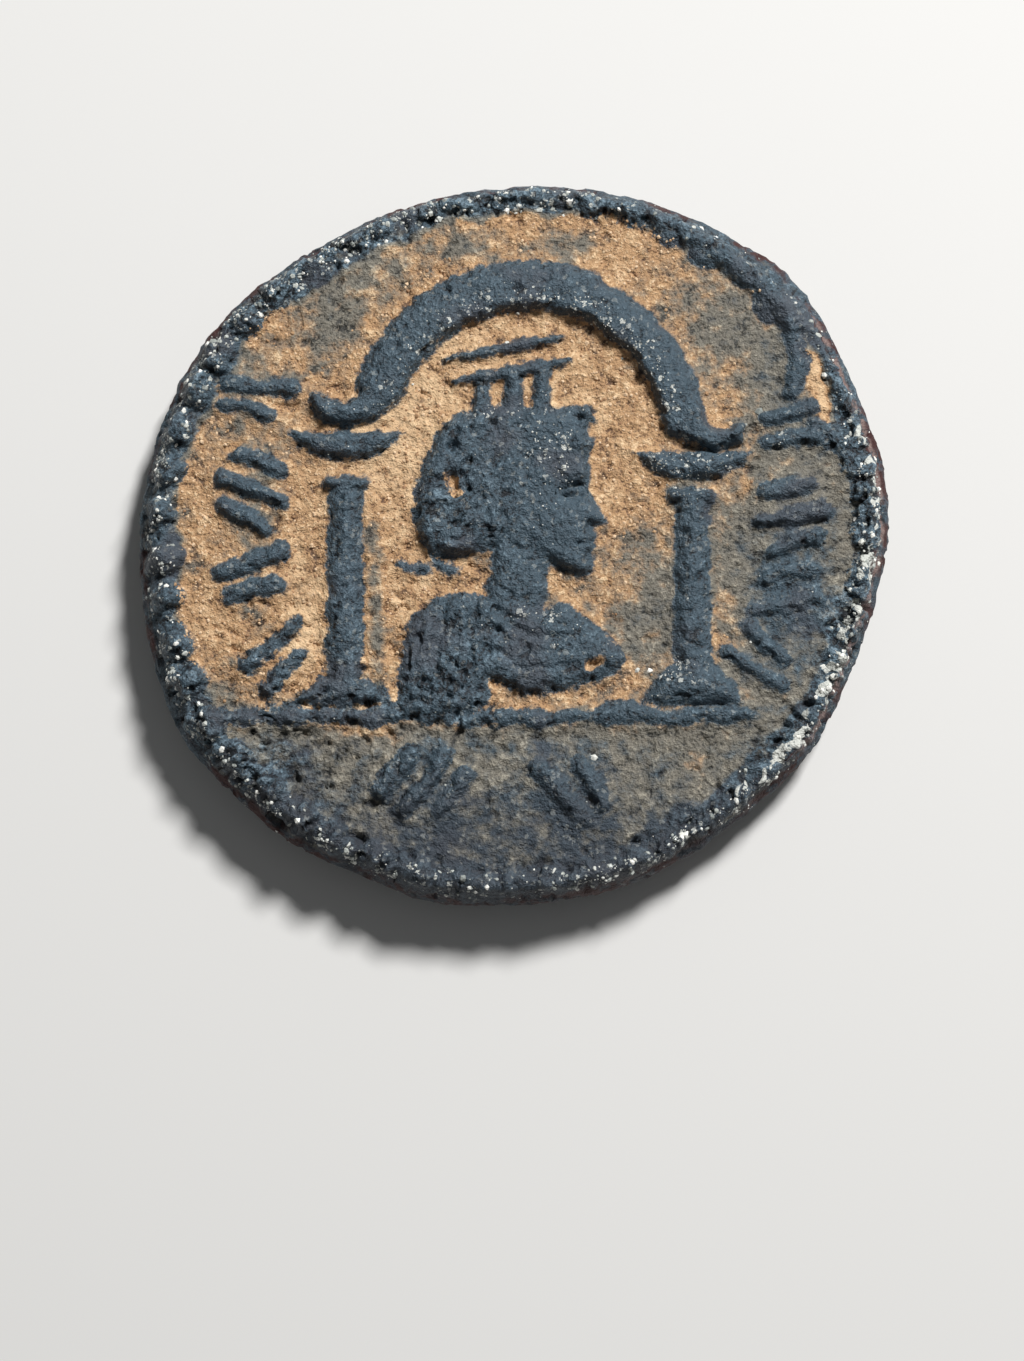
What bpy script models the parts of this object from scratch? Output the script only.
"""A struck bronze coin: a turreted goddess in an arched shrine, lying with its other face down.

Sizes are in millimetres and become metres when the mesh is made. The origin is on the surface
that the coin lies on, under the middle of its bounding box. +Z goes up through the shrine face
and +Y points to the top of the shrine. Each face is a height over its flat field, worked out at
every point of a fine grid, and a Decimate modifier then leaves the triangles that the relief needs.
"""

import math

import bpy
import numpy as np
from mathutils import noise

METRES = 0.001

# The flan, which is the round blank that was struck
FLAN_RADIUS = 11.0
FLAN_THICKNESS = 2.0
EDGE_BULGE = 0.3
EDGE_ROUNDING = 0.45
CORROSION = 0.02
CORROSION_AT_LOWER_LEFT = 0.12
CORROSION_SPAN = 1.0
# Angle in degrees and share of the flan's radius, where the uneven edge changes direction
FLAN_EDGE = (
    (0, 1.038), (12, 1.054), (22, 1.054), (40, 1.088), (52, 1.078), (70, 1.05),
    (90, 1.022), (115, 1.006), (145, 1.032), (175, 1.026), (205, 1.038), (228, 1.012),
    (245, 0.988), (262, 0.988), (290, 0.978), (320, 0.986), (340, 0.996),
)

# The ring of pearls round both faces
PEARL_COUNT = 51
PEARL_RING_INSET = 0.35
PEARL_RING_RADIUS = FLAN_RADIUS - PEARL_RING_INSET
PEARL_RING_SHIFT = (0.15, 0.3)
PEARL_RADIUS = 0.62
PEARL_RELIEF = 0.54
PEARL_RIDGE_RELIEF = 0.3
CRISPEST_PEARLS_AT = 190
# How fast the pearls run together away from there
CRISP_FALL = 2
# A fold of the flan right of the arch, which breaks the ring of pearls
EDGE_FOLD = ((9.0, 6.2), (9.35, 4.8), (9.95, 3.4))
EDGE_FOLD_WIDTH = 1.4

# The arch of the shrine, with its two feet curled outwards
ARCH_CENTRE = (0.55, 3.15)
ARCH_RADIUS = 4.8
ARCH_WIDTH = 1.44
ARCH_RELIEF = 0.52
ARCH_ENDS_AT = (10, 158)
ARCH_SIDES = 24
# Reach, drop and width of the right curl and of the left one
CURLS = ((1.68, 0.8, 0.64), (-1.98, 0.98, 0.78))

# The line that the shrine stands on
GROUND_LEVEL = -5.15
GROUND_FROM = -8.6
GROUND_TO = 7.0
GROUND_WIDTH = 0.6
GROUND_RELIEF = 0.24

# The two columns on that line: axis, base's height, shaft's length and gap under the capital
COLUMNS = ((-4.98, 0.9, 5.6, 0.7), (5.46, 1.25, 4.85, 0.48))
SHAFT_WIDTH = 1.1
COLUMN_RELIEF = 0.4
NECKING_WIDTH = 1.6
NECKING_THICKNESS = 0.48
CAPITAL_WIDTH = 3.3
CAPITAL_THICKNESS = 0.9
BASE_WIDTH = 2.9

# The goddess. A head's outline is in shares of its height, from under the chin
HEAD_HEIGHT = 5.3
HEAD_FOOT = (0.15, -1.05)
HEAD_RELIEF = 0.42
HAIR_RELIEF = 0.5
LOCK_COUNT = 5
LOCK_WIDTH = 0.34
LOCK_DEPTH = 0.09
NECK_WIDTH = 1.8
NECK_RELIEF = 0.32
BUST_WIDTH = 6.9
BUST_FOOT = (0.1, -1.42)
BUST_RELIEF = 0.4
FOLD_WIDTH = 0.42
FOLD_DEPTH = 0.12
CROWN_WIDTH = 3.6
CROWN_MIDDLE = 0.05
# The upper band of the crown lies this much further back
CROWN_SHIFT = 0.3
CROWN_BAND = 0.5
CROWN_RISE = 0.7
CROWN_SLANT = 11
CROWN_RELIEF = 0.3
TOWER_COUNT = 3
TOWER_WIDTH = 0.68

# Rows of short strokes stand where a coin has its words
STROKE_WIDTH = 0.62
LOW_STROKE_WIDTH = 0.8
STROKE_LENGTH = 1.95
STROKE_GAP = 0.88
STROKE_RELIEF = 0.34
STROKE_SLANTS = (20, -14, 8)
STROKE_COUNTS = (2, 3, 2, 2)
# Distance from the middle and angle in degrees of each group of strokes
LEFT_ROW = ((9.0, 150), (8.0, 168), (7.85, 187), (7.8, 206))
RIGHT_ROW = ((9.3, 23), (8.5, 6), (8.4, -9), (8.2, -24))
LOW_ROW = ((7.6, 285), (7.6, 250))

# The face that lies down: a worn wreathed head, flat where it rests
REST_RELIEF = 0.3
REST_HEAD_HEIGHT = 8.8
REST_HEAD_FOOT = (0.3, -3.4)
CUT_WIDTH = 0.3
CUT_DEPTH = 0.12
LEAF_COUNT = 9
LEAF_LENGTH = 0.95
LEAF_WIDTH = 0.42
LEAF_FAN = 38
REST_ROW_RADIUS = 8.1
REST_ROW_AT = (30, 50, 70, 110, 130, 150, 170, 195, 215, 330, 350)

# The grid that the relief is worked out on, and the triangles that are left of it
GRID_CELLS = 180
TRIANGLES = 9400

FACE_OUTLINE = (
    (0.36, 0.86), (0.415, 0.75), (0.432, 0.65), (0.43, 0.585), (0.418, 0.535), (0.455, 0.45),
    (0.506, 0.36), (0.503, 0.318), (0.448, 0.295), (0.464, 0.245), (0.444, 0.21), (0.456, 0.172),
    (0.432, 0.13), (0.446, 0.07), (0.408, 0.008), (0.32, 0.015), (0.2, 0.075), (0.08, 0.16),
    (-0.05, 0.3), (-0.2, 0.42), (-0.38, 0.6), (-0.37, 0.82), (-0.2, 0.96), (0.05, 1.0), (0.25, 0.96),
)
HAIR_OUTLINE = (
    (0.42, 1.0), (0.455, 0.92), (0.415, 0.85), (0.45, 0.77), (0.37, 0.69), (0.25, 0.64),
    (0.15, 0.54), (0.1, 0.42), (0.04, 0.3), (-0.06, 0.2), (-0.2, 0.15), (-0.34, 0.1), (-0.5, 0.16),
    (-0.58, 0.32), (-0.58, 0.48), (-0.54, 0.63), (-0.48, 0.8), (-0.37, 0.94), (-0.1, 1.0), (0.2, 0.99),
)
# The hollow between the knot and the head
HAIR_HOLLOW = ((-0.38, 0.56), (-0.33, 0.5))
HAIR_HOLLOW_WIDTH = 0.5
BARE_NECK_OUTLINE = (
    (0.22, 0.12), (0.13, -0.02), (0.12, -0.14), (0.24, -0.27), (0.06, -0.37), (-0.18, -0.35),
    (-0.36, -0.22), (-0.27, -0.08), (-0.26, 0.1), (-0.32, 0.4), (0.0, 0.5),
)
# The line of the wreath, then eye, brow, ear, mouth and jaw, as lines in the same shares
WREATH = ((-0.38, 0.6), (0.36, 0.78))
FACE_CUTS = (
    ((0.26, 0.5), (0.33, 0.515), (0.38, 0.49)), ((0.25, 0.585), (0.34, 0.61), (0.4, 0.58)),
    ((-0.02, 0.4), (-0.09, 0.44), (-0.08, 0.53), (0.0, 0.54)), ((0.36, 0.205), (0.42, 0.21)),
    ((0.3, 0.02), (0.12, 0.1), (0.02, 0.22), (-0.02, 0.34)),
)
BUST_OUTLINE = (
    (-0.49, -0.555), (-0.505, -0.39), (-0.495, -0.26), (-0.45, -0.11), (-0.37, -0.04), (-0.28, 0.0),
    (-0.13, 0.0), (0.0, -0.03), (0.13, -0.065), (0.21, -0.045), (0.3, -0.1), (0.4, -0.185),
    (0.49, -0.28), (0.46, -0.345), (0.36, -0.39), (0.24, -0.43), (0.1, -0.45), (-0.02, -0.43),
    (-0.1, -0.4), (-0.14, -0.53),
)


def polar(radius, degrees, centre=(0.0, 0.0)):
    angle = math.radians(degrees)
    return centre[0] + radius * math.cos(angle), centre[1] + radius * math.sin(angle)


def smooth_loop(points, steps=5):
    """A closed curve through the points, as a list of points (Catmull-Rom)."""
    points = np.array(points, float)
    before, after, beyond = (np.roll(points, shift, axis=0) for shift in (1, -1, -2))
    t = np.arange(steps)[None, :, None] / steps
    before, here, after, beyond = (p[:, None, :] for p in (before, points, after, beyond))
    curve = (
        2 * here
        + (after - before) * t
        + (2 * before - 5 * here + 4 * after - beyond) * t**2
        + (3 * here - before - 3 * after + beyond) * t**3
    ) / 2
    return curve.reshape(-1, 2)


def stroke(x, y, points, widths):
    """Signed distance to a line of round-ended strokes whose width changes from point to point."""
    nearest = np.full_like(x, np.inf)
    for (ax, ay), (bx, by), start, end in zip(points, points[1:], widths, widths[1:]):
        dx, dy = bx - ax, by - ay
        along = np.clip(((x - ax) * dx + (y - ay) * dy) / (dx * dx + dy * dy), 0, 1)
        distance = np.hypot(x - ax - along * dx, y - ay - along * dy)
        nearest = np.minimum(nearest, distance - (start + (end - start) * along) / 2)
    return nearest


def outline(x, y, loop):
    """Signed distance to a closed outline, negative inside it."""
    nearest = np.full_like(x, np.inf)
    inside = np.zeros(x.shape, bool)
    for (ax, ay), (bx, by) in zip(loop, np.roll(loop, -1, axis=0)):
        dx, dy = bx - ax, by - ay
        along = np.clip(((x - ax) * dx + (y - ay) * dy) / (dx * dx + dy * dy), 0, 1)
        nearest = np.minimum(nearest, np.hypot(x - ax - along * dx, y - ay - along * dy))
        crosses = (ay > y) != (by > y)
        inside ^= crosses & (x < ax + (y - ay) * dx / (dy if dy else 1.0))
    return np.where(inside, -nearest, nearest)


def raised(distance, relief, shoulder):
    """Height of a form over the field: steep at its foot, rounded over the shoulder's width."""
    inwards = np.clip(-distance / shoulder, 0, 1)
    return relief * inwards * (2 - inwards)


def cut(x, y, points, width, depth):
    """Depth of a groove that tapers from its first point to its last."""
    widths = np.linspace(width, width / 2, len(points))
    return depth * np.clip(-stroke(x, y, points, widths) / (width / 3), 0, 1)


def edge_radius(angle):
    """The flan's radius at each angle in radians."""
    edge = smooth_loop([polar(FLAN_RADIUS * share, degrees) for degrees, share in FLAN_EDGE], 12)
    edge_angle = np.arctan2(edge[:, 1], edge[:, 0])
    return np.interp(angle, edge_angle, np.hypot(*edge.T), period=2 * math.pi)


def pearls(x, y):
    """The pearls: crisp on one side of the coin, and run together into a ridge on the other."""
    x, y = x - PEARL_RING_SHIFT[0], y - PEARL_RING_SHIFT[1]
    angle, radius = np.arctan2(y, x), np.hypot(x, y)
    crisp = (0.5 + 0.5 * np.cos(angle - math.radians(CRISPEST_PEARLS_AT))) ** CRISP_FALL
    pitch = 2 * math.pi / PEARL_COUNT
    off_centre = (angle / pitch - np.round(angle / pitch)) * pitch * radius
    pearl = np.hypot(off_centre, radius - PEARL_RING_RADIUS) - PEARL_RADIUS
    ridge = np.abs(radius - PEARL_RING_RADIUS) - PEARL_RADIUS
    return np.maximum(
        raised(pearl, PEARL_RELIEF, PEARL_RADIUS) * (0.45 + 0.55 * crisp),
        raised(ridge, PEARL_RIDGE_RELIEF, PEARL_RADIUS) * (1 - 0.7 * crisp),
    )


def arch(x, y):
    low, high = ARCH_ENDS_AT
    bend = [
        polar(ARCH_RADIUS, low + (high - low) * i / ARCH_SIDES, ARCH_CENTRE)
        for i in range(ARCH_SIDES + 1)
    ]
    height = raised(stroke(x, y, bend, [ARCH_WIDTH] * len(bend)), ARCH_RELIEF, ARCH_WIDTH / 3)
    for (foot_x, foot_y), (reach, drop, width) in zip((bend[0], bend[-1]), CURLS):
        curl = (
            (foot_x, foot_y),
            (foot_x + 0.12 * reach, foot_y - 0.65 * drop),
            (foot_x + 0.5 * reach, foot_y - drop),
            (foot_x + 0.85 * reach, foot_y - 0.88 * drop),
            (foot_x + 0.99 * reach, foot_y - 0.5 * drop),
        )
        widths = (0.85 * ARCH_WIDTH, 1.3 * width, 1.05 * width, width, 0.7 * width)
        height = np.maximum(height, raised(stroke(x, y, curl, widths), ARCH_RELIEF, width / 2))
    return height


def column(x, y, axis, base, shaft, gap):
    """A shaft on its spread base, with a necking and a boat-shaped capital over it."""

    def boat(wide_level, narrow_level, width):
        rise = narrow_level - wide_level
        halves = ((0.47, 0.0), (0.5, 0.2), (0.4, 0.62), (0.2, 1.0))
        half = [(share * width, wide_level + depth * rise) for share, depth in halves]
        loop = [(axis + reach, level) for reach, level in half]
        loop += [(axis - reach, level) for reach, level in half[::-1]]
        return raised(outline(x, y, np.array(loop)), COLUMN_RELIEF, abs(rise) / 2)

    ground = GROUND_LEVEL + GROUND_WIDTH / 2
    foot, top = ground + base, ground + base + shaft
    neck = top + NECKING_THICKNESS / 2
    necking = ((axis - NECKING_WIDTH / 3, neck), (axis + NECKING_WIDTH / 3, neck))
    body = stroke(x, y, ((axis, foot - base / 2), (axis, top)), (1.1 * SHAFT_WIDTH, SHAFT_WIDTH))
    capital = neck + gap
    return np.maximum.reduce([
        raised(body, COLUMN_RELIEF, SHAFT_WIDTH / 2),
        raised(stroke(x, y, necking, [NECKING_THICKNESS] * 2), COLUMN_RELIEF, NECKING_THICKNESS / 2),
        boat(capital + CAPITAL_THICKNESS, capital, CAPITAL_WIDTH),
        boat(ground, foot, BASE_WIDTH),
    ])


def ground_line(x, y):
    line = stroke(x, y, ((GROUND_FROM, GROUND_LEVEL), (GROUND_TO, GROUND_LEVEL)), [GROUND_WIDTH] * 2)
    return raised(line, GROUND_RELIEF, GROUND_WIDTH / 2)


def placed(points, size, foot):
    """Points in shares of a size, moved to where the form stands."""
    return np.array(points) * size + np.array(foot)


def head(x, y, size, foot, relief):
    return raised(outline(x, y, smooth_loop(placed(FACE_OUTLINE, size, foot))), relief, 0.09 * size)


def hair(x, y):
    """The hair, waved back from the brow into a knot at the nape, with its locks cut in."""
    loop = smooth_loop(placed(HAIR_OUTLINE, HEAD_HEIGHT, HEAD_FOOT))
    height = raised(outline(x, y, loop), HAIR_RELIEF, 0.1 * HEAD_HEIGHT)
    for i in range(LOCK_COUNT):
        share = (i + 0.5) / LOCK_COUNT
        lock = placed(
            (
                (0.36 - 0.12 * share, 0.92 - 0.24 * share),
                (0.05 - 0.03 * share, 0.95 - 0.36 * share),
                (-0.24, 0.84 - 0.36 * share),
                (-0.4, 0.56 - 0.2 * share),
            ),
            HEAD_HEIGHT,
            HEAD_FOOT,
        )
        height = height - cut(x, y, lock, LOCK_WIDTH, LOCK_DEPTH)
    hollow = placed(HAIR_HOLLOW, HEAD_HEIGHT, HEAD_FOOT)
    height = height - cut(x, y, hollow, HAIR_HOLLOW_WIDTH, HAIR_RELIEF)
    return np.maximum(height, 0)


def neck(x, y):
    """The neck, from the shoulders up into the jaw."""
    bottom = (BUST_FOOT[0], BUST_FOOT[1] - NECK_WIDTH / 4)
    top = (HEAD_FOOT[0] + 0.06 * HEAD_HEIGHT, HEAD_FOOT[1] + 0.3 * HEAD_HEIGHT)
    form = stroke(x, y, (bottom, top), (1.05 * NECK_WIDTH, NECK_WIDTH))
    return raised(form, NECK_RELIEF, NECK_WIDTH / 3)


def bust(x, y):
    """Draped shoulders, with folds falling from the left shoulder and across the breast."""
    loop = smooth_loop(placed(BUST_OUTLINE, BUST_WIDTH, BUST_FOOT))
    height = raised(outline(x, y, loop), BUST_RELIEF, 0.08 * BUST_WIDTH)
    folds = (
        ((-0.17, -0.03), (-0.2, -0.2), (-0.17, -0.38)),
        ((-0.3, -0.06), (-0.34, -0.22), (-0.32, -0.42)),
        ((-0.08, -0.08), (0.06, -0.2), (0.24, -0.2)),
        ((-0.14, -0.24), (0.04, -0.34), (0.28, -0.32)),
    )
    for fold in folds:
        height = height - cut(x, y, placed(fold, BUST_WIDTH, BUST_FOOT), FOLD_WIDTH, FOLD_DEPTH)
    return np.maximum(height, 0)


def crown(x, y):
    """A city crown: two slanting bands joined to the hair by towers."""
    slant = math.tan(math.radians(CROWN_SLANT))
    left = CROWN_MIDDLE - CROWN_WIDTH / 2
    height = np.zeros_like(x)
    low_band = HEAD_FOOT[1] + HEAD_HEIGHT + CROWN_RISE
    for level, shift in ((low_band, 0.0), (low_band + CROWN_RISE, -CROWN_SHIFT)):
        rise = slant * CROWN_WIDTH
        shares = (0.0, 0.35, 0.7, 1.0)
        band = [(left + shift + share * CROWN_WIDTH, level + share * rise) for share in shares]
        widths = [share * CROWN_BAND for share in (0.45, 0.8, 0.95, 0.4)]
        height = np.maximum(height, raised(stroke(x, y, band, widths), CROWN_RELIEF, CROWN_BAND / 3))
    for i in range(TOWER_COUNT):
        tower = left + (i + 1) * CROWN_WIDTH / (TOWER_COUNT + 1)
        top = low_band + slant * (tower - left)
        upright = ((tower, HEAD_FOOT[1] + 0.95 * HEAD_HEIGHT), (tower, top))
        tower_form = raised(stroke(x, y, upright, [TOWER_WIDTH] * 2), CROWN_RELIEF, TOWER_WIDTH / 3)
        height = np.maximum(height, tower_form)
    return height


def stroke_group(x, y, centre, upright, number, width):
    """Two or three strokes of unequal length, which stand for one letter and aren't one."""
    height = np.zeros_like(x)
    lean = upright + STROKE_SLANTS[number % len(STROKE_SLANTS)]
    count = STROKE_COUNTS[number % len(STROKE_COUNTS)]
    for i in range(count):
        middle = polar((i - (count - 1) / 2) * STROKE_GAP, upright - 90, centre)
        reach = STROKE_LENGTH * (0.5 if i % 2 else 0.36)
        ends = (polar(-reach, lean, middle), polar(reach, lean, middle))
        form = stroke(x, y, ends, (width, 0.7 * width))
        height = np.maximum(height, raised(form, STROKE_RELIEF, width / 2))
    return height


def stroke_rows(x, y, places, width=STROKE_WIDTH):
    groups = [
        stroke_group(x, y, polar(radius, degrees), degrees, number, width)
        for number, (radius, degrees) in enumerate(places)
    ]
    return np.maximum.reduce(groups)


def shrine_face(x, y):
    """Height of the upper face over its field."""
    ring = np.maximum(pearls(x, y) - cut(x, y, EDGE_FOLD, EDGE_FOLD_WIDTH, PEARL_RELIEF), 0)
    forms = [ring, arch(x, y), ground_line(x, y), crown(x, y), neck(x, y), bust(x, y), hair(x, y)]
    forms.append(head(x, y, HEAD_HEIGHT, HEAD_FOOT, HEAD_RELIEF))
    forms += [column(x, y, *places) for places in COLUMNS]
    forms += [stroke_rows(x, y, LEFT_ROW + RIGHT_ROW), stroke_rows(x, y, LOW_ROW, LOW_STROKE_WIDTH)]
    return np.maximum.reduce(forms)


def wreathed_face(x, y):
    """Height of the lower face over its field, seen from below and worn down to one level."""
    forms = [pearls(x, y), stroke_rows(x, y, [(REST_ROW_RADIUS, degrees) for degrees in REST_ROW_AT])]
    forms.append(head(x, y, REST_HEAD_HEIGHT, REST_HEAD_FOOT, 1.3 * REST_RELIEF))
    bare_neck = smooth_loop(placed(BARE_NECK_OUTLINE, REST_HEAD_HEIGHT, REST_HEAD_FOOT))
    forms.append(raised(outline(x, y, bare_neck), 1.1 * REST_RELIEF, 0.09 * REST_HEAD_HEIGHT))
    height = np.minimum(np.maximum.reduce(forms), REST_RELIEF)
    for line in FACE_CUTS:
        height = height - cut(x, y, placed(line, REST_HEAD_HEIGHT, REST_HEAD_FOOT), CUT_WIDTH, CUT_DEPTH)
    nape, brow = placed(WREATH, REST_HEAD_HEIGHT, REST_HEAD_FOOT)
    along = math.degrees(math.atan2(brow[1] - nape[1], brow[0] - nape[0]))
    for i in range(LEAF_COUNT):
        root = nape + (brow - nape) * i / LEAF_COUNT
        for fan in (-LEAF_FAN, LEAF_FAN):
            leaf = (root, polar(LEAF_LENGTH, along + fan, root))
            height = height - cut(x, y, leaf, LEAF_WIDTH, CUT_DEPTH)
    return np.maximum(height, 0)


def round_grid(cells):
    """A square grid bent into a disc: angle and share of the radius at each of its points."""
    a, b = np.meshgrid(np.linspace(-1, 1, cells + 1), np.linspace(-1, 1, cells + 1), indexing="ij")
    upright = np.abs(b) > np.abs(a)
    share = np.where(upright, b, a)
    safe = np.where(share == 0, 1.0, share)
    angle = np.where(upright, math.pi / 2 - math.pi / 4 * a / safe, math.pi / 4 * b / safe)
    return np.where(share < 0, angle + math.pi, angle), np.abs(share)


def grid_border(cells):
    """Index of each point on the grid's border, once round it with the face on the left."""
    row = cells + 1
    south = [i * row for i in range(cells)]
    east = [cells * row + j for j in range(cells)]
    north = [i * row + cells for i in range(cells, 0, -1)]
    west = [j for j in range(cells, 0, -1)]
    return south + east + north + west


def grid_faces(cells, first=0, downwards=False):
    row = cells + 1
    faces = []
    for i in range(cells):
        for j in range(cells):
            corner = first + i * row + j
            quad = (corner, corner + row, corner + row + 1, corner + 1)
            faces.append(quad[::-1] if downwards else quad)
    return faces


def corrosion(x, y):
    """Shallow lumps and hollows, deepest by the lower left edge."""
    lower_left = np.clip((-x - 1.4 * y) / FLAN_RADIUS, 0, 1)
    places = zip(x.ravel() / CORROSION_SPAN, y.ravel() / CORROSION_SPAN)
    lumps = [noise.noise((px, py, 0)) for px, py in places]
    depth = CORROSION + (CORROSION_AT_LOWER_LEFT - CORROSION) * lower_left
    return np.array(lumps).reshape(x.shape) * depth


def face_points(cells, relief, level, up):
    """Points of one face of the coin, rounded over where it meets the edge."""
    angle, share = round_grid(cells)
    rim = edge_radius(angle) - EDGE_BULGE
    x, y = share * rim * np.cos(angle), share * rim * np.sin(angle)
    from_rim = np.clip((1 - share) * rim / EDGE_ROUNDING, 0, 1)
    fall = EDGE_ROUNDING * (1 - np.sqrt(1 - (1 - from_rim) ** 2))
    height = relief(x, y) if up else relief(-x, y)
    if up:
        height = height + corrosion(x, y)
    z = level + height - fall if up else level - height + fall
    return np.column_stack([v.ravel() for v in (x, y, z)])


def coin_mesh():
    """The whole coin as one closed mesh, centred and standing on the surface."""
    lower_field = REST_RELIEF
    upper_field = lower_field + FLAN_THICKNESS
    upper = face_points(GRID_CELLS, shrine_face, upper_field, True)
    lower = face_points(GRID_CELLS, wreathed_face, lower_field, False)
    border = grid_border(GRID_CELLS)
    top_edge, low_edge = upper[border], lower[border]
    angle = np.arctan2(top_edge[:, 1], top_edge[:, 0])
    outwards = np.column_stack([np.cos(angle), np.sin(angle), np.zeros(len(angle))])
    middle = (top_edge + low_edge) / 2 + outwards * EDGE_BULGE
    shoulder = top_edge * 0.75 + low_edge * 0.25 + outwards * EDGE_BULGE * 0.8
    hip = top_edge * 0.25 + low_edge * 0.75 + outwards * EDGE_BULGE * 0.8
    points = np.concatenate([upper, lower, shoulder, middle, hip])
    points[:, :2] -= (points[:, :2].min(axis=0) + points[:, :2].max(axis=0)) / 2
    points[:, 2] -= points[:, 2].min()

    faces = grid_faces(GRID_CELLS) + grid_faces(GRID_CELLS, len(upper), True)
    count = len(border)
    first = 2 * len(upper)
    rings = [border] + [[first + k * count + i for i in range(count)] for k in range(3)]
    rings.append([len(upper) + i for i in border])
    for high, low in zip(rings, rings[1:]):
        for i in range(count):
            after = (i + 1) % count
            faces.append((high[i], low[i], low[after], high[after]))
    mesh = bpy.data.meshes.new("coin")
    mesh.from_pydata((points * METRES).tolist(), [], faces)
    mesh.validate()
    return mesh


def patinated_bronze():
    material = bpy.data.materials.new("patinated_bronze")
    material.use_nodes = True
    shader = material.node_tree.nodes["Principled BSDF"]
    shader.inputs["Base Color"].default_value = (0.1, 0.12, 0.14, 1)
    shader.inputs["Metallic"].default_value = 0.5
    shader.inputs["Roughness"].default_value = 0.6
    return material


def main():
    for old in list(bpy.data.objects):
        bpy.data.objects.remove(old)
    mesh = coin_mesh()
    mesh.materials.append(patinated_bronze())
    coin = bpy.data.objects.new("coin", mesh)
    bpy.context.scene.collection.objects.link(coin)
    mesh.calc_loop_triangles()
    decimate = coin.modifiers.new("relief_triangles", "DECIMATE")
    decimate.ratio = TRIANGLES / len(mesh.loop_triangles)
    decimate.use_collapse_triangulate = True


main()
